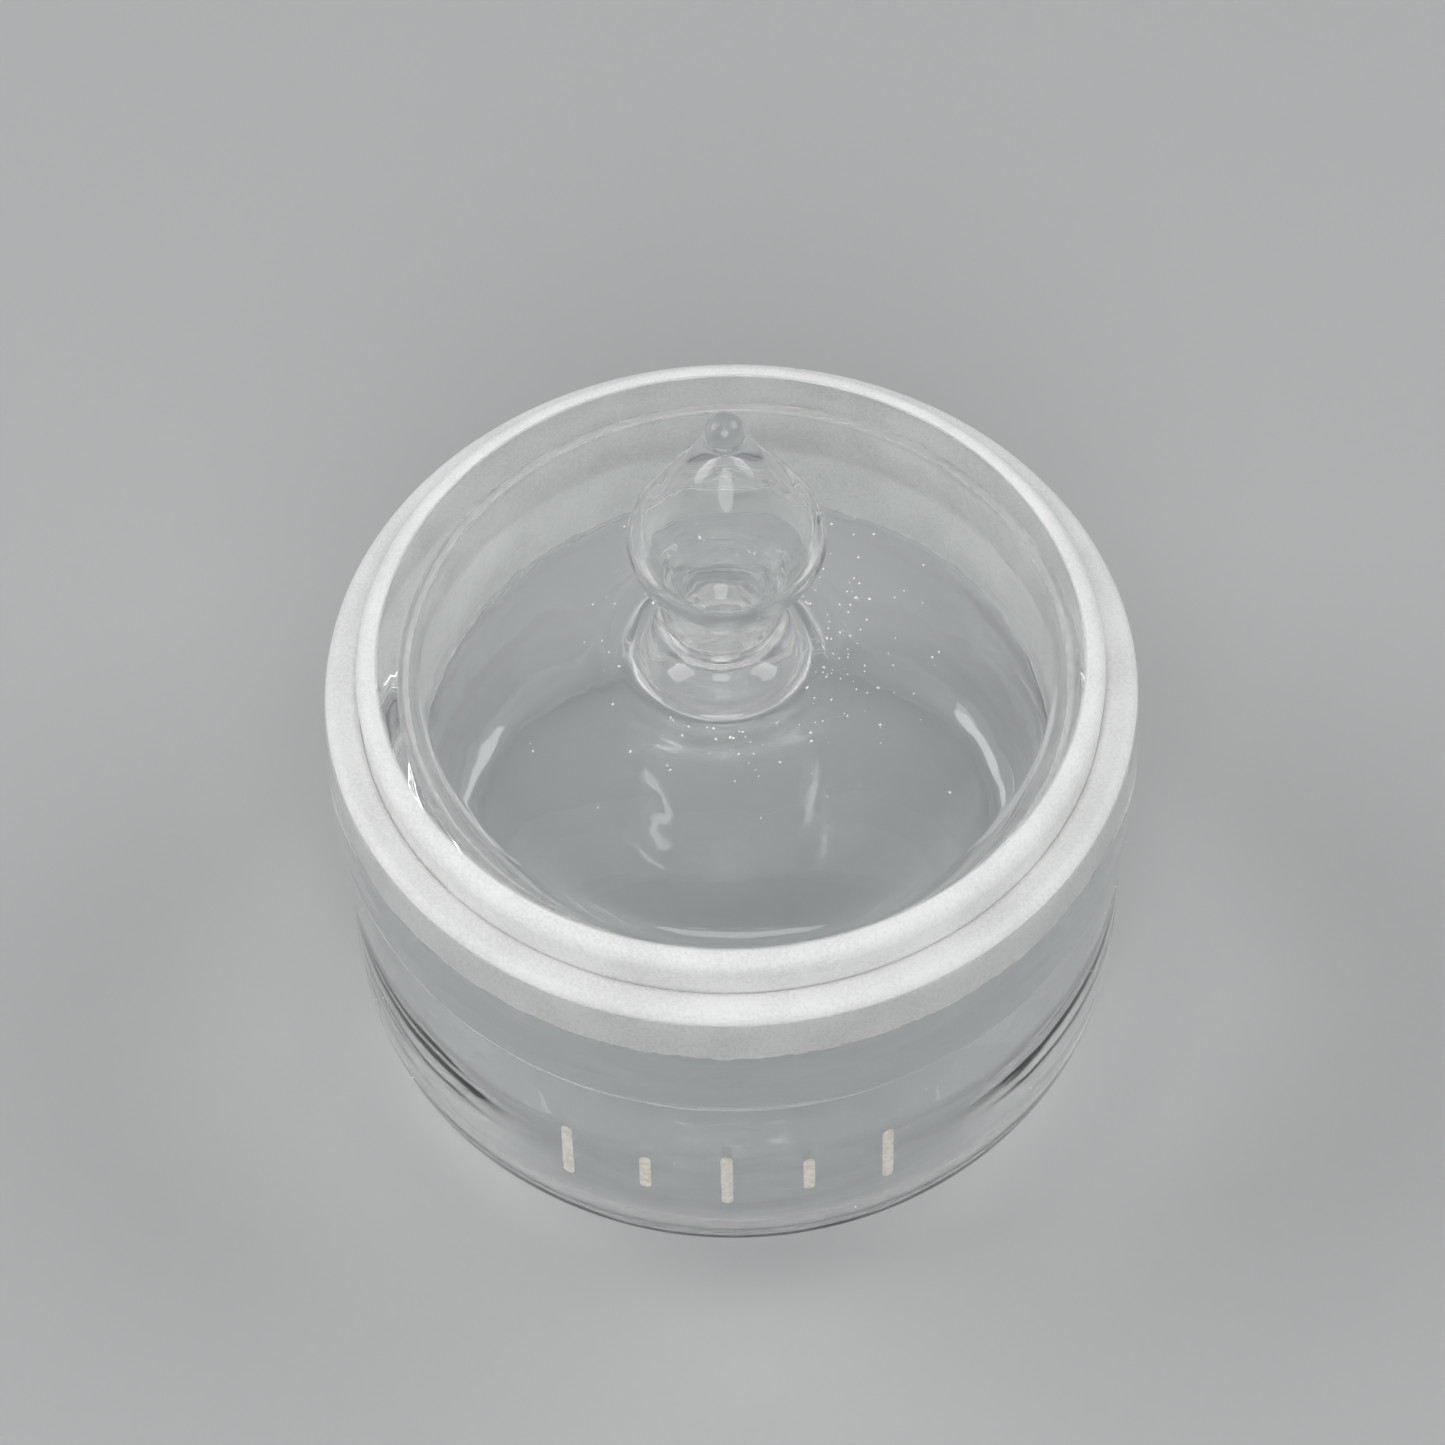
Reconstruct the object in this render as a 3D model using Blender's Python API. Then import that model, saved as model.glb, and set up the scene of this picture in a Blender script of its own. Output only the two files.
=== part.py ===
"""Low-form weighing bottle, 50 mm across and 30 mm high, with its hollow ground-in stopper.

The bottle stands on the ring of its foot at z = 0, on the Z axis. The stopper sits in the ground
mouth and lifts straight up. Its knob is a blown bulb on a short neck, ending in a small drawn pip.
Profiles are (radius, height) pairs in millimetres.
"""

import math

import bmesh
import bpy
from mathutils import Vector

MM = 0.001

# Bottle
BODY_RADIUS = 25.0
BODY_HEIGHT = 30.0
BASE_THICKNESS = 1.8
WALL = 1.35
HEEL_RADIUS = 5.0
WAIST_RADIUS = 24.72
RIM_RADIUS = 24.47
RIM_ROUND = 0.9
BORE_RADIUS = 22.4
GROUND_BOTTOM = 24.4

# Stopper
JOINT_GAP = 0.3
STOPPER_TOP = 32.3
STOPPER_CENTRE = 31.0
STOPPER_BOTTOM = 17.4
STOPPER_PLATE = 1.5
STOPPER_INNER_RADIUS = 20.65
STOPPER_SHOULDER = 0.9
PLATE_HOLE_RADIUS = 2.2

# Knob
KNOB_SHIFT = (-0.3, 0.7)
KNOB_GAP = 0.3
FOOT_RADIUS = 5.1
NECK_RADIUS = 3.55
CHANNEL_RADIUS = 1.4
BULB_RADIUS = 5.75
BULB_HEIGHT = 41.7
BULB_WALL = 0.8
PIP_RADIUS = 1.15
PIP_TOP = 52.1

# Enamel scale marks on the front of the wall
MARK_ANGLES = (-25.0, -13.5, -2.0, 9.5, 21.0)
MARK_CENTRE_HEIGHT = 11.5
MARK_LONG = 5.4
MARK_SHORT = 3.4
MARK_WIDTH = 0.7
MARK_GAP = 0.05
MARK_THICKNESS = 0.15

BODY_SEGMENTS = 56
KNOB_SEGMENTS = 36
SMOOTH_ANGLE = math.radians(35)

GLASS_COLOUR = (0.93, 0.96, 0.96, 1.0)
ENAMEL_COLOUR = (0.76, 0.72, 0.67, 1.0)


def arc(centre_r, centre_z, radius, start, end, steps):
    """Points along an arc in the profile plane, with its angles in degrees."""
    points = []
    for step in range(steps + 1):
        angle = math.radians(start + (end - start) * step / steps)
        points.append((centre_r + radius * math.cos(angle), centre_z + radius * math.sin(angle)))
    return points


def through(points, steps):
    """A smooth Catmull-Rom curve through the points, its last point included."""
    knots = [Vector(point) for point in points]
    knots = [2 * knots[0] - knots[1], *knots, 2 * knots[-1] - knots[-2]]
    curve = []
    for before, start, end, after in zip(knots, knots[1:], knots[2:], knots[3:]):
        for step in range(steps):
            t = step / steps
            linear = (end - before) * t
            square = (2 * before - 5 * start + 4 * end - after) * t**2
            cube = (3 * start - before - 3 * end + after) * t**3
            curve.append(tuple(0.5 * (2 * start + linear + square + cube)))
    curve.append(tuple(knots[-2]))
    return curve


def new_material(name, colour, roughness, transmission):
    material = bpy.data.materials.new(name)
    material.use_nodes = True
    shader = material.node_tree.nodes["Principled BSDF"]
    shader.inputs["Base Color"].default_value = colour
    shader.inputs["Roughness"].default_value = roughness
    shader.inputs["Metallic"].default_value = 0.0
    shader.inputs["IOR"].default_value = 1.47
    shader.inputs["Transmission Weight"].default_value = transmission
    return material


def new_object(name, shape, material, parent):
    """Turns a bmesh into a named object with its faces pointing out."""
    bmesh.ops.recalc_face_normals(shape, faces=shape.faces)
    mesh = bpy.data.meshes.new(name)
    shape.to_mesh(mesh)
    shape.free()
    mesh.shade_smooth()
    mesh.set_sharp_from_angle(angle=SMOOTH_ANGLE)
    mesh.materials.append(material)
    piece = bpy.data.objects.new(name, mesh)
    piece.parent = parent
    bpy.context.scene.collection.objects.link(piece)
    return piece


def new_empty(name):
    empty = bpy.data.objects.new(name, None)
    bpy.context.scene.collection.objects.link(empty)
    return empty


def turned(profile, segments, closed):
    """A profile turned about Z. A point at radius 0 becomes one vertex on the axis."""
    shape = bmesh.new()
    rings = []
    for radius, height in profile:
        count = segments if radius > 0 else 1
        ring = []
        for index in range(count):
            angle = 2 * math.pi * index / count
            place = (radius * math.cos(angle), radius * math.sin(angle), height)
            ring.append(shape.verts.new(Vector(place) * MM))
        rings.append(ring)
    following = rings[1:] + rings[:1] if closed else rings[1:]
    for lower, upper in zip(rings, following):
        for index in range(segments):
            corners = [
                lower[index % len(lower)],
                lower[(index + 1) % len(lower)],
                upper[(index + 1) % len(upper)],
                upper[index % len(upper)],
            ]
            shape.faces.new(dict.fromkeys(corners))
    return shape


def bottle_profile():
    """From the middle of the base, out round the heel, up the wall, over the rim and down inside."""
    foot = [(0.0, 0.5), (10.0, 0.4), (17.5, 0.1), (18.6, 0.0)]
    heel = arc(BODY_RADIUS - HEEL_RADIUS, HEEL_RADIUS, HEEL_RADIUS, -90, 0, 7)
    wall = through(
        [
            (BODY_RADIUS, HEEL_RADIUS),
            (BODY_RADIUS, 8.0),
            (WAIST_RADIUS, 14.0),
            (BODY_RADIUS - 0.07, 21.0),
            (RIM_RADIUS, BODY_HEIGHT - RIM_ROUND),
        ],
        2,
    )
    outer_lip = arc(RIM_RADIUS - RIM_ROUND, BODY_HEIGHT - RIM_ROUND, RIM_ROUND, 0, 90, 3)
    lip_round = 0.5 * RIM_ROUND
    inner_lip = arc(BORE_RADIUS + lip_round, BODY_HEIGHT - lip_round, lip_round, 90, 180, 2)
    inner_radius = BODY_RADIUS - WALL
    bore = [
        (BORE_RADIUS, GROUND_BOTTOM),
        (BORE_RADIUS + 0.9, GROUND_BOTTOM - 3.2),
        (inner_radius, GROUND_BOTTOM - 6.5),
    ]
    inner_heel_radius = HEEL_RADIUS - 1.0
    inner_heel = arc(
        inner_radius - inner_heel_radius,
        BASE_THICKNESS + inner_heel_radius,
        inner_heel_radius,
        0,
        -90,
        6,
    )
    inner_base = [(10.0, BASE_THICKNESS + 0.1), (0.0, BASE_THICKNESS + 0.15)]
    return foot + heel + wall[1:] + outer_lip[1:] + inner_lip + bore + inner_heel + inner_base


def stopper_profile():
    """A closed loop: the top plate, its shoulder, the ground side, the open bottom and the hollow."""
    side_radius = BORE_RADIUS - JOINT_GAP
    shoulder_radius = side_radius - STOPPER_SHOULDER
    top = [
        (PLATE_HOLE_RADIUS, STOPPER_CENTRE),
        (9.0, STOPPER_CENTRE + 0.05),
        (15.0, STOPPER_CENTRE + 0.4),
        (19.0, STOPPER_TOP - 0.25),
    ]
    shoulder = arc(shoulder_radius, STOPPER_TOP - STOPPER_SHOULDER, STOPPER_SHOULDER, 90, 0, 4)
    wall_middle = 0.5 * (side_radius + STOPPER_INNER_RADIUS)
    edge_round = 0.5 * (side_radius - STOPPER_INNER_RADIUS)
    bottom_edge = arc(wall_middle, STOPPER_BOTTOM + edge_round, edge_round, 0, -180, 6)
    corner_radius = 1.6
    plate_under = STOPPER_TOP - 0.25 - STOPPER_PLATE
    corner = arc(
        STOPPER_INNER_RADIUS - corner_radius, plate_under - corner_radius, corner_radius, 0, 90, 4
    )
    under = [
        (14.0, STOPPER_CENTRE + 0.35 - STOPPER_PLATE),
        (8.0, STOPPER_CENTRE - STOPPER_PLATE),
        (PLATE_HOLE_RADIUS, STOPPER_CENTRE - STOPPER_PLATE),
    ]
    return top + shoulder + bottom_edge + corner + under


def knob_profile():
    """From the tip of the pip down the outside to the foot, then up the channel into the bulb."""
    foot_bottom = STOPPER_CENTRE + KNOB_GAP
    pip = arc(0.0, PIP_TOP - PIP_RADIUS, PIP_RADIUS, 90, 0, 3)
    pip[0] = (0.0, PIP_TOP)
    spire = [(1.15, PIP_TOP - 1.7), (1.8, PIP_TOP - 2.9), (2.4, PIP_TOP - 4.0)]
    bulb = [
        (BULB_RADIUS - 2.6, BULB_HEIGHT + 5.2),
        (BULB_RADIUS - 1.25, BULB_HEIGHT + 3.0),
        (BULB_RADIUS - 0.4, BULB_HEIGHT + 1.5),
        (BULB_RADIUS, BULB_HEIGHT),
        (BULB_RADIUS - 0.3, BULB_HEIGHT - 1.3),
        (BULB_RADIUS - 0.85, BULB_HEIGHT - 2.3),
        (NECK_RADIUS + 0.6, BULB_HEIGHT - 3.5),
        (NECK_RADIUS + 0.1, BULB_HEIGHT - 5.0),
        (NECK_RADIUS, BULB_HEIGHT - 6.3),
    ]
    foot = [
        (NECK_RADIUS + 0.25, foot_bottom + 2.8),
        (NECK_RADIUS + 0.85, foot_bottom + 1.5),
        (FOOT_RADIUS - 0.15, foot_bottom + 0.4),
        (FOOT_RADIUS, foot_bottom),
        (CHANNEL_RADIUS, foot_bottom),
    ]
    channel = [
        (CHANNEL_RADIUS, foot_bottom + 0.9),
        (CHANNEL_RADIUS + 0.5, foot_bottom + 1.5),
        (CHANNEL_RADIUS + 1.1, foot_bottom + 2.2),
    ]
    hollow = [(radius - BULB_WALL, height) for radius, height in reversed(bulb)]
    crown = [(0.9, BULB_HEIGHT + 7.0), (0.0, BULB_HEIGHT + 7.7)]
    return pip + spire + bulb + foot + channel + hollow + crown


def scale_mark(angle, length):
    """A small upright bar with round ends, bent to the wall, its middle at the given angle."""
    inner = BODY_RADIUS + MARK_GAP
    half_width = 0.5 * MARK_WIDTH
    half_straight = 0.5 * length - half_width
    outline = arc(0.0, half_straight, half_width, 0, 180, 6)
    outline += arc(0.0, -half_straight, half_width, 180, 360, 6)
    shape = bmesh.new()
    layers = []
    for radius in (inner, inner + MARK_THICKNESS):
        layer = []
        for across, up in outline:
            around = math.radians(angle - 90) + across / BODY_RADIUS
            place = (
                radius * math.cos(around),
                radius * math.sin(around),
                MARK_CENTRE_HEIGHT + up,
            )
            layer.append(shape.verts.new(Vector(place) * MM))
        layers.append(layer)
        shape.faces.new(layer)
    inside, outside = layers
    for index in range(len(outline)):
        after = (index + 1) % len(outline)
        shape.faces.new((inside[index], inside[after], outside[after], outside[index]))
    return shape


def main():
    for old in list(bpy.data.objects):
        bpy.data.objects.remove(old)
    glass = new_material("clear_glass", GLASS_COLOUR, 0.02, 1.0)
    ground_glass = new_material("ground_glass", GLASS_COLOUR, 0.35, 0.9)
    knob_glass = new_material("knob_glass", GLASS_COLOUR, 0.03, 1.0)
    enamel = new_material("enamel", ENAMEL_COLOUR, 0.45, 0.0)

    bottle = new_empty("bottle_frame")
    lid = new_empty("lid_frame")
    new_object("bottle_body", turned(bottle_profile(), BODY_SEGMENTS, False), glass, bottle)
    new_object("lid_stopper", turned(stopper_profile(), BODY_SEGMENTS, True), ground_glass, lid)
    knob = new_object("lid_knob", turned(knob_profile(), KNOB_SEGMENTS, False), knob_glass, lid)
    knob.location.xy = Vector(KNOB_SHIFT) * MM
    for index, angle in enumerate(MARK_ANGLES):
        length = MARK_SHORT if index % 2 else MARK_LONG
        new_object(f"scale_mark_{index + 1}", scale_mark(angle, length), enamel, bottle)


main()
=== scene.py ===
"""Looks of the weighing bottle: fine turned glass, ground bands, enamel marks, dust, light and camera.

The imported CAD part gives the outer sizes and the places. Wall thicknesses, curves and the extent of the
ground bands are set here. Profiles are (radius, height, (x, y) shift) in metres.
"""

import math
import random

import bmesh
import bpy
from mathutils import Matrix, Vector


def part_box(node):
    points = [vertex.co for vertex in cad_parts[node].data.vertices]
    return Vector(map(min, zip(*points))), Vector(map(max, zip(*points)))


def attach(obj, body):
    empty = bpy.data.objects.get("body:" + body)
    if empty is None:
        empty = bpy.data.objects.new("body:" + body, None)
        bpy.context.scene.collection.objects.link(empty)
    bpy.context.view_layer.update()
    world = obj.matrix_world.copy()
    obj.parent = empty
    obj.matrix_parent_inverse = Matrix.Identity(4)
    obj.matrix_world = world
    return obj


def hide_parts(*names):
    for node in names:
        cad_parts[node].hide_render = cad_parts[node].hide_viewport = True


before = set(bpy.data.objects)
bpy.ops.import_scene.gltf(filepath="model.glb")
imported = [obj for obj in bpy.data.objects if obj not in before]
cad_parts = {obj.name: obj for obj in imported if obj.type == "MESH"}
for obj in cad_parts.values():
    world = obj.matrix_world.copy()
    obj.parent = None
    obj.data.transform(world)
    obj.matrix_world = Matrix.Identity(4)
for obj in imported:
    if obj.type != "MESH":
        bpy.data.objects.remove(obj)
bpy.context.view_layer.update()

MM = 0.001

# Bottle
WALL = 1.35 * MM
BASE_THICKNESS = 1.8 * MM
HEEL_RADIUS = 5.0 * MM
RIM_RADIUS_LOSS = 0.53 * MM
WAIST_LOSS = 0.28 * MM
RIM_ROUND = 0.9 * MM
BORE_RADIUS = 22.4 * MM
GROUND_BOTTOM = 24.4 * MM
RIM_MATT_FROM = 29.35 * MM

# Stopper
SIDE_GAP = 0.05 * MM
STOPPER_WALL = 1.7 * MM
STOPPER_PLATE = 1.5 * MM
SKIRT_EDGE = 0.9 * MM
STOPPER_DIP = 1.3 * MM
SHOULDER = 0.9 * MM
HOLLOW_SHIFT = 0.4 * MM
STOPPER_GROUND_BACK = 17.9 * MM
SHOULDER_MATT_RADIUS = 20.9 * MM
SHOULDER_MATT_HEIGHT = 31.0 * MM
CORNER_RADIUS = 1.7 * MM
PLATE_EDGE_DROP = 0.3 * MM

# The radius from which a ring moves off the knob's centre, and the width over which it does
PLATE_FADE_FROM = 6 * MM
PLATE_FADE_WIDTH = 10 * MM
HOLLOW_FADE_FROM = 5 * MM
HOLLOW_FADE_WIDTH = 9 * MM

# Knob
NECK_RADIUS = 3.55 * MM
CHANNEL_RADIUS = 1.4 * MM
BULB_WALL = 0.8 * MM
BULB_DROP = 10.4 * MM
KNOB_LEAN = 0.48 * MM
PIP_RADIUS = 1.15 * MM

# Enamel marks and dust
MARK_HALF_WIDTH = 0.36 * MM
MARK_ROWS = 28
MARK_SEED = 5
PLATE_GRAINS = 190
PLATE_SEED = 11
TOP_LINE_FROM = 5.2 * MM
TOP_LINE_POINTS = 60
WALL_GRAINS = 110
WALL_SEED = 23

# Glass
GLASS_IOR = 1.47
GROUND_TRANSLUCENCY = 0.3
GROUND_EDGE = 0.12 * MM
GROUND_JAG = 0.9 * MM
BOTTLE_WAVE = (55.0, 0.15 * MM)
STOPPER_WAVE = (150.0, 0.11 * MM)

CENTRED = (0.0, 0.0)
HOLLOW_CENTRE = (HOLLOW_SHIFT, 0.0)
SEGMENTS = 176
SMOOTH_ANGLE = math.radians(32)

# Stage: each light's name, place, width and power
FLOOR_SIZE = 4.0
FLOOR_DROP = 0.1 * MM
FLOOR_COLOUR = (0.40, 0.40, 0.40, 1.0)
SKY_COLOUR = (0.93, 0.96, 1.0, 1.0)
SKY_STRENGTH = 0.3
LIGHT_AIM = (0.0, 0.0, 0.02)
LIGHTS = (
    ("front", (0.0, -0.6, 0.6), 0.6, 3.7),
    ("left", (-0.5, 0.1, 0.42), 0.45, 1.9),
    ("right", (0.5, 0.14, 0.45), 0.45, 1.6),
)

# View: the camera's place, its aim and its lens
CAMERA_DISTANCE = 0.2
CAMERA_ELEVATION = math.radians(55.80)
CAMERA_AIM_HEIGHT = 0.02
CAMERA_PAN = 0.00293
CAMERA_TILT = 0.01189
CAMERA_ROLL = math.radians(-1.198)
CAMERA_LENS = 79.58
SENSOR_WIDTH = 36.0


def arc(centre_r, centre_z, radius, start, end, steps):
    """Points along an arc in the profile plane, with its angles in degrees."""
    points = []
    for step in range(steps + 1):
        angle = math.radians(start + (end - start) * step / steps)
        points.append((centre_r + radius * math.cos(angle), centre_z + radius * math.sin(angle)))
    return points


def through(points, steps):
    """A smooth Catmull-Rom curve through the points, its last point included."""
    knots = [Vector(point) for point in points]
    knots = [2 * knots[0] - knots[1], *knots, 2 * knots[-1] - knots[-2]]
    curve = []
    for before, start, end, after in zip(knots, knots[1:], knots[2:], knots[3:]):
        for step in range(steps):
            t = step / steps
            linear = (end - before) * t
            square = (2 * before - 5 * start + 4 * end - after) * t**2
            cube = (3 * start - before - 3 * end + after) * t**3
            curve.append(tuple(0.5 * (2 * start + linear + square + cube)))
    curve.append(tuple(knots[-2]))
    return curve


def new_piece(name, shape, material, body, slot, *replaced):
    """Makes a shaded object of a bmesh and fastens it to a body of the frame."""
    bmesh.ops.recalc_face_normals(shape, faces=shape.faces)
    mesh = bpy.data.meshes.new(name)
    shape.to_mesh(mesh)
    shape.free()
    mesh.shade_smooth()
    mesh.set_sharp_from_angle(angle=SMOOTH_ANGLE)
    mesh.materials.append(material)
    piece = bpy.data.objects.new(name, mesh)
    bpy.context.scene.collection.objects.link(piece)
    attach(piece, body)
    if replaced:
        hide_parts(*replaced)
    return piece


def turned(profile, segments):
    """A profile turned about Z, from axis to axis, each ring moved by its own (x, y) shift."""
    shape = bmesh.new()
    rings = []
    for radius, height, shift in profile:
        count = segments if radius > 1e-7 else 1
        ring = []
        for index in range(count):
            angle = 2 * math.pi * index / count
            across = shift[0] + radius * math.cos(angle)
            along = shift[1] + radius * math.sin(angle)
            ring.append(shape.verts.new((across, along, height)))
        rings.append(ring)
    for lower, upper in zip(rings, rings[1:]):
        for index in range(segments):
            corners = [
                lower[index % len(lower)],
                lower[(index + 1) % len(lower)],
                upper[(index + 1) % len(upper)],
                upper[index % len(upper)],
            ]
            shape.faces.new(dict.fromkeys(corners))
    return shape


def part_of_one(value):
    """The value, held between 0 and 1."""
    return min(1.0, max(0.0, value))


def blend(start, end, share):
    return start + (end - start) * part_of_one(share)


# Shapes


def bottle_wall(radius, height):
    """The outer line of the wall, from the heel to the start of the rim's rounding."""
    points = [
        (radius, HEEL_RADIUS),
        (radius, 8.0 * MM),
        (radius - 0.14 * MM, 11.0 * MM),
        (radius - WAIST_LOSS, 14.0 * MM),
        (radius - 0.15 * MM, 17.5 * MM),
        (radius - 0.07 * MM, 21.0 * MM),
        (radius - 0.15 * MM, 24.5 * MM),
        (radius - 0.38 * MM, 27.5 * MM),
        (radius - RIM_RADIUS_LOSS, height - RIM_ROUND),
    ]
    return through(points, 6)


def bottle_profile(radius, height):
    foot = through(
        [(0.0, 0.55 * MM), (8 * MM, 0.5 * MM), (15 * MM, 0.28 * MM), (18.3 * MM, 0.03 * MM)], 4
    )
    heel = arc(radius - HEEL_RADIUS, HEEL_RADIUS, HEEL_RADIUS, -90, 0, 18)
    rim_radius = radius - RIM_RADIUS_LOSS
    outer_lip = arc(rim_radius - RIM_ROUND, height - RIM_ROUND, RIM_ROUND, 0, 90, 8)
    lip_round = 0.55 * RIM_ROUND
    inner_lip = arc(BORE_RADIUS + lip_round, height - lip_round, lip_round, 90, 180, 8)
    inner_radius = radius - WALL
    undercut = through(
        [
            (BORE_RADIUS, GROUND_BOTTOM),
            (BORE_RADIUS + 0.35 * MM, GROUND_BOTTOM - 1.6 * MM),
            (BORE_RADIUS + 0.9 * MM, GROUND_BOTTOM - 3.2 * MM),
            (inner_radius, GROUND_BOTTOM - 6.5 * MM),
            (inner_radius - 0.05 * MM, 12 * MM),
            (inner_radius, BASE_THICKNESS + HEEL_RADIUS - 1 * MM),
        ],
        5,
    )
    inner_heel_radius = HEEL_RADIUS - 1.0 * MM
    inner_heel = arc(
        inner_radius - inner_heel_radius,
        BASE_THICKNESS + inner_heel_radius,
        inner_heel_radius,
        0,
        -90,
        14,
    )
    floor = [(12 * MM, BASE_THICKNESS + 0.08 * MM), (0.0, BASE_THICKNESS + 0.2 * MM)]
    wall = bottle_wall(radius, height)
    outline = foot + heel + wall[1:] + outer_lip[1:] + inner_lip + undercut + inner_heel[1:] + floor
    return [(r, z, CENTRED) for r, z in outline]


def plate_line(top):
    """The top of the stopper's plate from the knob's foot outwards, with a few faint ripples."""
    centre = top - STOPPER_DIP
    return [
        (5.6 * MM, centre + 0.02 * MM),
        (6.3 * MM, centre - 0.1 * MM),
        (7.1 * MM, centre + 0.03 * MM),
        (8.2 * MM, centre - 0.05 * MM),
        (9.8 * MM, centre + 0.03 * MM),
        (12.5 * MM, centre + 0.14 * MM),
        (15.5 * MM, centre + 0.45 * MM),
        (18.5 * MM, top - 0.4 * MM),
        (20.2 * MM, top - 0.1 * MM),
    ]


def knob_lean(height, foot, bulb_height):
    """The blown knob leans a little to the right of its foot."""
    share = (height - foot - 2 * MM) / (bulb_height - foot - 2 * MM)
    return KNOB_LEAN * (part_of_one(share) - 0.5)


def stopper_profile(stopper, knob):
    """From the tip of the pip down the outside of knob, plate and side, then up the hollow."""
    top = stopper[1].z
    bottom = stopper[0].z
    middle_x = 0.5 * (knob[0].x + knob[1].x)
    middle_y = 0.5 * (knob[0].y + knob[1].y)
    bulb_radius = 0.5 * (knob[1].x - knob[0].x)
    tip = knob[1].z
    bulb_height = tip - BULB_DROP
    foot = top - STOPPER_DIP
    side_radius = BORE_RADIUS - SIDE_GAP
    inner_radius = side_radius - STOPPER_WALL

    pip = arc(0.0, tip - PIP_RADIUS, PIP_RADIUS, 90, -20, 8)
    pip[0] = (0.0, tip)
    spire = [
        pip[-1],
        (1.2 * MM, tip - 1.9 * MM),
        (1.8 * MM, tip - 2.9 * MM),
        (2.4 * MM, tip - 4.0 * MM),
    ]
    bulb = [
        (bulb_radius - 2.6 * MM, bulb_height + 5.2 * MM),
        (bulb_radius - 1.25 * MM, bulb_height + 3.0 * MM),
        (bulb_radius - 0.4 * MM, bulb_height + 1.5 * MM),
        (bulb_radius, bulb_height),
        (bulb_radius - 0.3 * MM, bulb_height - 1.3 * MM),
        (bulb_radius - 0.85 * MM, bulb_height - 2.3 * MM),
        (NECK_RADIUS + 0.6 * MM, bulb_height - 3.5 * MM),
        (NECK_RADIUS + 0.1 * MM, bulb_height - 5.0 * MM),
        (NECK_RADIUS, bulb_height - 6.3 * MM),
    ]
    flare = [
        (NECK_RADIUS + 0.25 * MM, foot + 3.1 * MM),
        (NECK_RADIUS + 0.85 * MM, foot + 1.8 * MM),
        (NECK_RADIUS + 1.35 * MM, foot + 0.75 * MM),
        (NECK_RADIUS + 1.6 * MM, foot + 0.25 * MM),
    ]
    outside = through([*spire, *bulb, *flare, *plate_line(top)], 6)

    shoulder = arc(side_radius - SHOULDER, top - SHOULDER, SHOULDER, 90, 0, 10)
    edge_round = 0.5 * SKIRT_EDGE
    edge_middle = side_radius - edge_round
    edge = arc(edge_middle, bottom + edge_round, edge_round, 0, -180, 14)
    skirt_inside = through(
        [
            edge[-1],
            (side_radius - SKIRT_EDGE - 0.2 * MM, bottom + 1.6 * MM),
            (inner_radius + 0.15 * MM, bottom + 4.0 * MM),
            (inner_radius, bottom + 6.5 * MM),
        ],
        4,
    )
    under = top - PLATE_EDGE_DROP - STOPPER_PLATE
    corner = arc(inner_radius - CORNER_RADIUS, under - CORNER_RADIUS, CORNER_RADIUS, 0, 90, 10)
    centre_under = foot - STOPPER_PLATE
    hollow = [(radius - BULB_WALL, height) for radius, height in reversed(bulb)]
    inside = through(
        [
            (16.0 * MM, under - 0.3 * MM),
            (11.0 * MM, centre_under + 0.15 * MM),
            (6.5 * MM, centre_under),
            (3.6 * MM, centre_under + 0.3 * MM),
            (2.2 * MM, centre_under + 1.1 * MM),
            (CHANNEL_RADIUS, foot + 0.4 * MM),
            (CHANNEL_RADIUS, foot + 1.2 * MM),
            (CHANNEL_RADIUS + 0.5 * MM, foot + 1.8 * MM),
            (CHANNEL_RADIUS + 1.1 * MM, foot + 2.5 * MM),
            (CHANNEL_RADIUS + 1.4 * MM, foot + 3.4 * MM),
            *hollow,
            (0.9 * MM, bulb_height + 7.0 * MM),
            (0.0, bulb_height + 7.7 * MM),
        ],
        5,
    )

    def on_knob(height, share):
        """The shift of a ring of the knob, fading to none with the share."""
        across = (middle_x + knob_lean(height, foot, bulb_height)) * (1.0 - share)
        return across, middle_y * (1.0 - share)

    knob_and_plate = []
    for r, z in pip[:-1] + outside:
        share = part_of_one((r - PLATE_FADE_FROM) / PLATE_FADE_WIDTH)
        knob_and_plate.append((r, z, on_knob(z, share)))
    side = [(r, z, CENTRED) for r, z in shoulder + edge[:8]]
    skirt = [(r, z, HOLLOW_CENTRE) for r, z in edge[8:] + skirt_inside[1:] + corner]
    plate_and_bulb = []
    for r, z in inside:
        share = part_of_one((r - HOLLOW_FADE_FROM) / HOLLOW_FADE_WIDTH)
        across, along = on_knob(z, share)
        plate_and_bulb.append((r, z, (across + share * HOLLOW_SHIFT, along)))
    return knob_and_plate + side + skirt + plate_and_bulb


def wall_radius_at(wall, height):
    """The wall's radius at a height, between the points of its outer line."""
    for (lower_r, lower_z), (upper_r, upper_z) in zip(wall, wall[1:]):
        if lower_z <= height <= upper_z:
            return blend(lower_r, upper_r, (height - lower_z) / (upper_z - lower_z))
    return wall[0][0]


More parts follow.
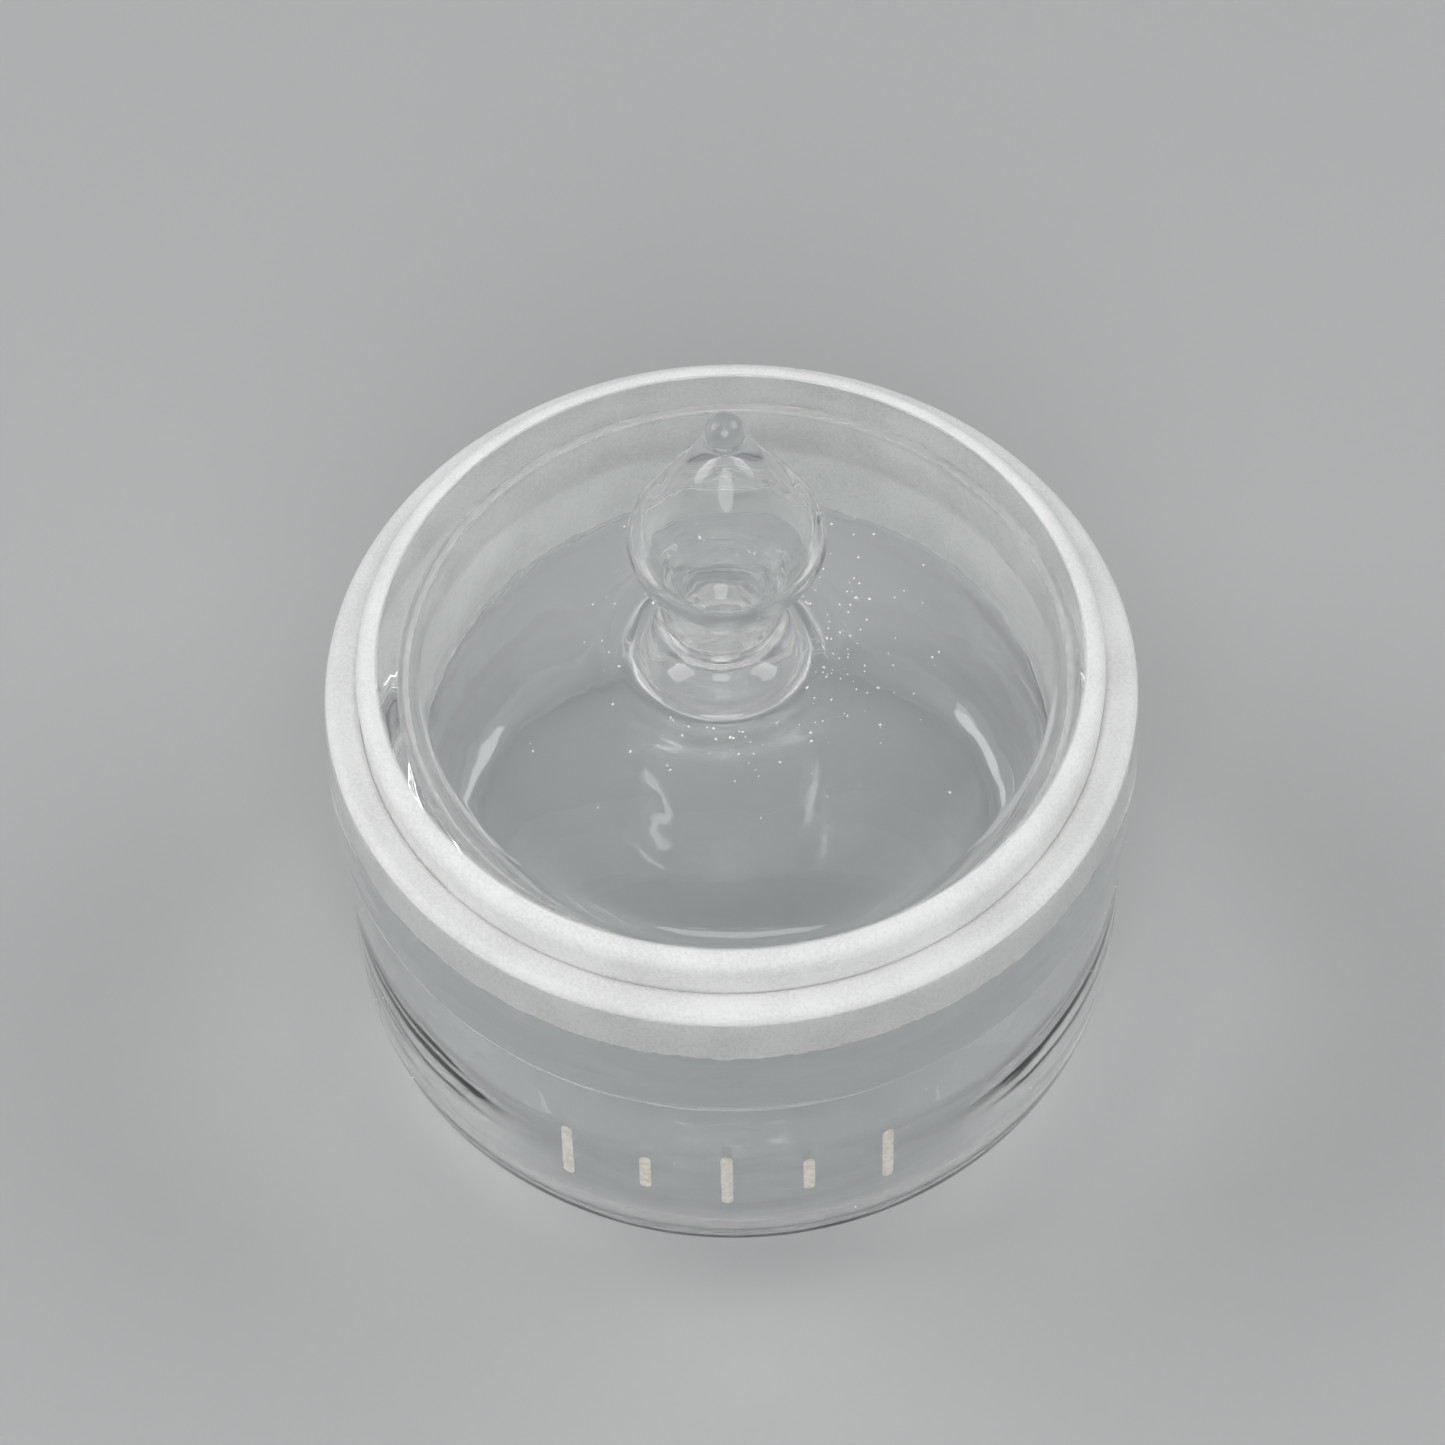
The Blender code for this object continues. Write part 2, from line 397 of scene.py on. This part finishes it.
def mark_shape(wall, low, high, draw):
    """An enamel bar with round ends on the wall, its edges a little uneven, where its CAD bar stands."""
    middle = 0.5 * (low + high)
    centre_angle = math.atan2(middle.y, middle.x)
    half_length = 0.5 * (high.z - low.z)
    straight = half_length - MARK_HALF_WIDTH
    shape = bmesh.new()
    grid = []
    for row in range(MARK_ROWS + 1):
        up = half_length * math.sin(math.pi * (row / MARK_ROWS - 0.5))
        past = max(0.0, abs(up) - straight) / MARK_HALF_WIDTH
        half_width = MARK_HALF_WIDTH * math.sqrt(max(0.02, 1.0 - past * past))
        half_width += draw.uniform(-0.012, 0.012) * MM
        radius = wall_radius_at(wall, middle.z + up)
        corners = []
        for lift, side in ((0.01, -1), (0.01, 1), (0.05, 1), (0.05, -1)):
            angle = centre_angle + side * half_width / radius
            reach = radius + lift * MM
            place = (reach * math.cos(angle), reach * math.sin(angle), middle.z + up)
            corners.append(shape.verts.new(place))
        grid.append(corners)
    for lower, upper in zip(grid, grid[1:]):
        for index in range(4):
            after = (index + 1) % 4
            shape.faces.new((lower[index], lower[after], upper[after], upper[index]))
    shape.faces.new(grid[0])
    shape.faces.new(grid[-1])
    return shape


def add_speck(shape, place, size, draw):
    """A flattened grain of dust."""
    turn = Matrix.Rotation(draw.uniform(0, math.tau), 4, "Z")
    stretch = Matrix.Diagonal((size * draw.uniform(0.7, 1.8), size, size * 0.6, 1.0))
    bmesh.ops.create_icosphere(
        shape, subdivisions=1, radius=1.0, matrix=Matrix.Translation(place) @ turn @ stretch
    )


def plate_dust(profile, centre, draw):
    """Grains on the stopper's plate, most of them near the knob's foot.

    The line of heights takes in the widest part of the bulb, so a few of the nearest grains sit there.
    """
    top_line = [(r, z) for r, z, _ in profile if r > TOP_LINE_FROM][:TOP_LINE_POINTS]
    shape = bmesh.new()
    for _ in range(PLATE_GRAINS):
        angle = draw.gauss(math.radians(5), math.radians(75))
        radius = 5.3 * MM + abs(draw.gauss(0.0, 3.4 * MM))
        if radius > 20 * MM:
            continue
        near = min(top_line, key=lambda point: abs(point[0] - radius))
        across = centre.x + radius * math.cos(angle)
        along = centre.y + radius * math.sin(angle)
        add_speck(shape, (across, along, near[1] + 0.02 * MM), draw.uniform(0.03, 0.08) * MM, draw)
    return shape


def wall_dust(wall, draw):
    """A few grains on the outside of the wall."""
    shape = bmesh.new()
    for _ in range(WALL_GRAINS):
        height = draw.uniform(4.0, 27.0) * MM
        angle = draw.uniform(0, math.tau)
        radius = wall_radius_at(wall, height) + 0.012 * MM
        place = (radius * math.cos(angle), radius * math.sin(angle), height)
        add_speck(shape, place, draw.uniform(0.012, 0.035) * MM, draw)
    return shape


# Materials


class Tree:
    """A short way to add and join the nodes of one material."""

    def __init__(self, name):
        self.material = bpy.data.materials.new(name)
        self.material.use_nodes = True
        self.nodes = self.material.node_tree.nodes
        self.nodes.clear()
        self.output = self.nodes.new("ShaderNodeOutputMaterial")
        self.place = self.nodes.new("ShaderNodeTexCoord").outputs["Object"]

    def join(self, source, target):
        self.material.node_tree.links.new(source, target)

    def maths(self, operation, first, second):
        node = self.nodes.new("ShaderNodeMath")
        node.operation = operation
        for value, socket in zip((first, second), node.inputs):
            if isinstance(value, (int, float)):
                socket.default_value = value
            else:
                self.join(value, socket)
        return node.outputs[0]

    def noise(self, scale, detail, vector=None):
        node = self.nodes.new("ShaderNodeTexNoise")
        node.inputs["Scale"].default_value = scale
        node.inputs["Detail"].default_value = detail
        self.join(vector or self.place, node.inputs["Vector"])
        return node.outputs["Fac"]

    def ramp(self, source, low, high, to_low=0.0, to_high=1.0):
        """Smoothly from one value to another as the source goes from low to high."""
        node = self.nodes.new("ShaderNodeMapRange")
        node.interpolation_type = "SMOOTHSTEP"
        self.join(source, node.inputs["Value"])
        for socket, value in zip(("From Min", "From Max"), (low, high)):
            if isinstance(value, (int, float)):
                node.inputs[socket].default_value = value
            else:
                self.join(value, node.inputs[socket])
        node.inputs["To Min"].default_value = to_low
        node.inputs["To Max"].default_value = to_high
        return node.outputs["Result"]

    def mix(self, share, first, second):
        node = self.nodes.new("ShaderNodeMixShader")
        if isinstance(share, (int, float)):
            node.inputs[0].default_value = share
        else:
            self.join(share, node.inputs[0])
        self.join(first, node.inputs[1])
        self.join(second, node.inputs[2])
        return node.outputs[0]

    def bump(self, height, strength, distance):
        node = self.nodes.new("ShaderNodeBump")
        node.inputs["Strength"].default_value = strength
        node.inputs["Distance"].default_value = distance
        self.join(height, node.inputs["Height"])
        return node.outputs["Normal"]

    def radius_depth_height(self):
        """The distance from the axis, the depth along Y and the height of the shaded point."""
        split = self.nodes.new("ShaderNodeSeparateXYZ")
        self.join(self.place, split.inputs[0])
        across = self.maths("MULTIPLY", split.outputs["X"], split.outputs["X"])
        along = self.maths("MULTIPLY", split.outputs["Y"], split.outputs["Y"])
        radius = self.maths("SQRT", self.maths("ADD", across, along), 0.0)
        return radius, split.outputs["Y"], split.outputs["Z"]


def clear_glass(tree, wave_scale, wave_depth):
    """Blown borosilicate glass with a slight waviness and faint rub marks."""
    shader = tree.nodes.new("ShaderNodeBsdfPrincipled")
    shader.inputs["Base Color"].default_value = (0.985, 0.995, 0.992, 1.0)
    shader.inputs["Transmission Weight"].default_value = 1.0
    shader.inputs["IOR"].default_value = GLASS_IOR
    rubbed = tree.ramp(tree.noise(1400.0, 6.0), 0.62, 0.85, 0.0, 0.12)
    tree.join(rubbed, shader.inputs["Roughness"])
    wave = tree.noise(wave_scale, 2.5)
    tree.join(tree.bump(wave, 1.0, wave_depth), shader.inputs["Normal"])
    return shader.outputs[0]


def ground_glass(tree):
    """Glass ground matt: white, grainy, letting light through."""
    grain = tree.noise(5200.0, 4.0)
    cloud = tree.noise(240.0, 3.0)
    tone = tree.ramp(tree.maths("ADD", grain, tree.maths("MULTIPLY", cloud, 0.7)), 0.5, 1.1)
    colour = tree.nodes.new("ShaderNodeMix")
    colour.data_type = "RGBA"
    tree.join(tone, colour.inputs["Factor"])
    colour.inputs["A"].default_value = (0.80, 0.80, 0.79, 1.0)
    colour.inputs["B"].default_value = (0.95, 0.95, 0.94, 1.0)
    surface = tree.nodes.new("ShaderNodeBsdfPrincipled")
    surface.inputs["Roughness"].default_value = 0.55
    surface.inputs["IOR"].default_value = GLASS_IOR
    tree.join(colour.outputs["Result"], surface.inputs["Base Color"])
    tree.join(tree.bump(grain, 0.35, 0.00008), surface.inputs["Normal"])
    through_light = tree.nodes.new("ShaderNodeBsdfTranslucent")
    tree.join(colour.outputs["Result"], through_light.inputs["Color"])
    return tree.mix(GROUND_TRANSLUCENCY, surface.outputs[0], through_light.outputs[0])


def jagged(tree, height):
    """The height, moved up and down by the uneven edge of a ground band."""
    coarse = tree.maths("MULTIPLY", tree.noise(700.0, 5.0), GROUND_JAG)
    return tree.maths("ADD", tree.maths("SUBTRACT", height, 0.5 * GROUND_JAG), coarse)


def bottle_material():
    tree = Tree("bottle_glass_look")
    radius, _, height = tree.radius_depth_height()
    edge = jagged(tree, height)
    inside = tree.ramp(radius, BORE_RADIUS + 0.22 * MM, BORE_RADIUS + 0.12 * MM)
    band = tree.ramp(edge, GROUND_BOTTOM, GROUND_BOTTOM + GROUND_EDGE)
    rim = tree.ramp(height, RIM_MATT_FROM, RIM_MATT_FROM + 0.25 * MM)
    mask = tree.maths("MAXIMUM", tree.maths("MULTIPLY", inside, band), rim)
    glass = clear_glass(tree, *BOTTLE_WAVE)
    tree.join(tree.mix(mask, glass, ground_glass(tree)), tree.output.inputs[0])
    return tree.material


def stopper_material():
    """Clear plate and knob; the side is ground, lower at the back than at the front."""
    tree = Tree("stopper_glass_look")
    radius, depth, height = tree.radius_depth_height()
    edge = jagged(tree, height)
    lower = tree.ramp(depth, -12 * MM, 8 * MM, GROUND_BOTTOM, STOPPER_GROUND_BACK)
    side_radius = BORE_RADIUS - SIDE_GAP
    outside = tree.ramp(radius, side_radius - 0.2 * MM, side_radius - 0.12 * MM)
    above = tree.ramp(tree.maths("SUBTRACT", edge, lower), 0.0, GROUND_EDGE)
    side = tree.maths("MULTIPLY", outside, above)
    matt_radius = tree.ramp(radius, SHOULDER_MATT_RADIUS, SHOULDER_MATT_RADIUS + 0.35 * MM)
    matt_height = tree.ramp(height, SHOULDER_MATT_HEIGHT, SHOULDER_MATT_HEIGHT + 0.4 * MM)
    mask = tree.maths("MAXIMUM", side, tree.maths("MULTIPLY", matt_radius, matt_height))
    glass = clear_glass(tree, *STOPPER_WAVE)
    tree.join(tree.mix(mask, glass, ground_glass(tree)), tree.output.inputs[0])
    return tree.material


def enamel_material():
    tree = Tree("enamel_look")
    shader = tree.nodes.new("ShaderNodeBsdfPrincipled")
    shader.inputs["Roughness"].default_value = 0.42
    colour = tree.nodes.new("ShaderNodeMix")
    colour.data_type = "RGBA"
    tree.join(tree.ramp(tree.noise(2600.0, 4.0), 0.35, 0.65), colour.inputs["Factor"])
    colour.inputs["A"].default_value = (0.66, 0.61, 0.55, 1.0)
    colour.inputs["B"].default_value = (0.80, 0.76, 0.70, 1.0)
    tree.join(colour.outputs["Result"], shader.inputs["Base Color"])
    tree.join(tree.bump(tree.noise(4000.0, 3.0), 0.3, 0.00003), shader.inputs["Normal"])
    tree.join(shader.outputs[0], tree.output.inputs[0])
    return tree.material


def dust_material():
    tree = Tree("dust_look")
    shader = tree.nodes.new("ShaderNodeBsdfPrincipled")
    shader.inputs["Roughness"].default_value = 0.8
    colour = tree.nodes.new("ShaderNodeMix")
    colour.data_type = "RGBA"
    tree.join(tree.noise(900.0, 2.0), colour.inputs["Factor"])
    colour.inputs["A"].default_value = (0.80, 0.80, 0.78, 1.0)
    colour.inputs["B"].default_value = (0.98, 0.98, 0.97, 1.0)
    tree.join(colour.outputs["Result"], shader.inputs["Base Color"])
    tree.join(shader.outputs[0], tree.output.inputs[0])
    return tree.material


def floor_material():
    tree = Tree("floor_look")
    shader = tree.nodes.new("ShaderNodeBsdfPrincipled")
    shader.inputs["Roughness"].default_value = 0.9
    shader.inputs["Base Color"].default_value = FLOOR_COLOUR
    tree.join(shader.outputs[0], tree.output.inputs[0])
    return tree.material


# Stage


def add_floor():
    bpy.ops.mesh.primitive_plane_add(size=FLOOR_SIZE, location=(0.0, 0.0, -FLOOR_DROP))
    floor = bpy.context.object
    floor.name = "floor"
    floor.data.materials.append(floor_material())


def add_area_light(name, place, size, power):
    light = bpy.data.lights.new(name, "AREA")
    light.shape = "DISK"
    light.energy = power
    light.size = size
    lamp = bpy.data.objects.new(name, light)
    lamp.location = place
    lamp.rotation_euler = (Vector(LIGHT_AIM) - Vector(place)).to_track_quat("-Z", "Y").to_euler()
    bpy.context.scene.collection.objects.link(lamp)


def add_light():
    world = bpy.data.worlds.new("studio")
    world.use_nodes = True
    background = world.node_tree.nodes["Background"]
    background.inputs["Color"].default_value = SKY_COLOUR
    background.inputs["Strength"].default_value = SKY_STRENGTH
    bpy.context.scene.world = world
    for light in LIGHTS:
        add_area_light(*light)


def add_camera():
    data = bpy.data.cameras.new("camera")
    data.lens = CAMERA_LENS
    data.sensor_width = SENSOR_WIDTH
    data.clip_start = 0.005
    camera = bpy.data.objects.new("camera", data)
    bpy.context.scene.collection.objects.link(camera)
    back = CAMERA_DISTANCE * math.cos(CAMERA_ELEVATION)
    rise = CAMERA_DISTANCE * math.sin(CAMERA_ELEVATION)
    place = Matrix.Translation((0.0, -back, CAMERA_AIM_HEIGHT + rise))
    aim = Matrix.Rotation(math.pi / 2 - CAMERA_ELEVATION, 4, "X")
    pan = Matrix.Rotation(CAMERA_PAN, 4, "Y")
    tilt = Matrix.Rotation(CAMERA_TILT, 4, "X")
    roll = Matrix.Rotation(CAMERA_ROLL, 4, "Z")
    camera.matrix_world = place @ aim @ pan @ tilt @ roll
    bpy.context.scene.camera = camera


add_camera()

bottle_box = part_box("bottle_body")
body_radius = bottle_box[1].x
body_height = bottle_box[1].z
outer_wall = bottle_wall(body_radius, body_height)
bottle_shape = turned(bottle_profile(body_radius, body_height), SEGMENTS)
new_piece("bottle_glass", bottle_shape, bottle_material(), "bottle", "bottle_glass", "bottle_body")

knob_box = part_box("lid_knob")
lid_profile = stopper_profile(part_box("lid_stopper"), knob_box)
lid_shape = turned(lid_profile, SEGMENTS)
lid_nodes = ("lid_stopper", "lid_knob")
new_piece("lid_glass", lid_shape, stopper_material(), "lid", "stopper_glass", *lid_nodes)

enamel_look = enamel_material()
mark_draw = random.Random(MARK_SEED)
for node in sorted(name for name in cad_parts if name.startswith("scale_mark")):
    shape = mark_shape(outer_wall, *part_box(node), mark_draw)
    new_piece(node.replace("scale_mark", "enamel_mark"), shape, enamel_look, "bottle", "enamel", node)

dust_look = dust_material()
knob_middle = 0.5 * (knob_box[0] + knob_box[1])
plate_grains = plate_dust(lid_profile, knob_middle, random.Random(PLATE_SEED))
new_piece("plate_dust", plate_grains, dust_look, "lid", "stopper_glass")
wall_grains = wall_dust(outer_wall, random.Random(WALL_SEED))
new_piece("wall_dust", wall_grains, dust_look, "bottle", "bottle_glass")

add_floor()
add_light()
bpy.context.scene.view_settings.view_transform = "Standard"

# Glass inside glass needs long light paths, and unblurred ones, or its inside turns dark
light_paths = bpy.context.scene.cycles
light_paths.max_bounces = 28
light_paths.glossy_bounces = 20
light_paths.transmission_bounces = 24
light_paths.transparent_max_bounces = 12
light_paths.blur_glossy = 0.0
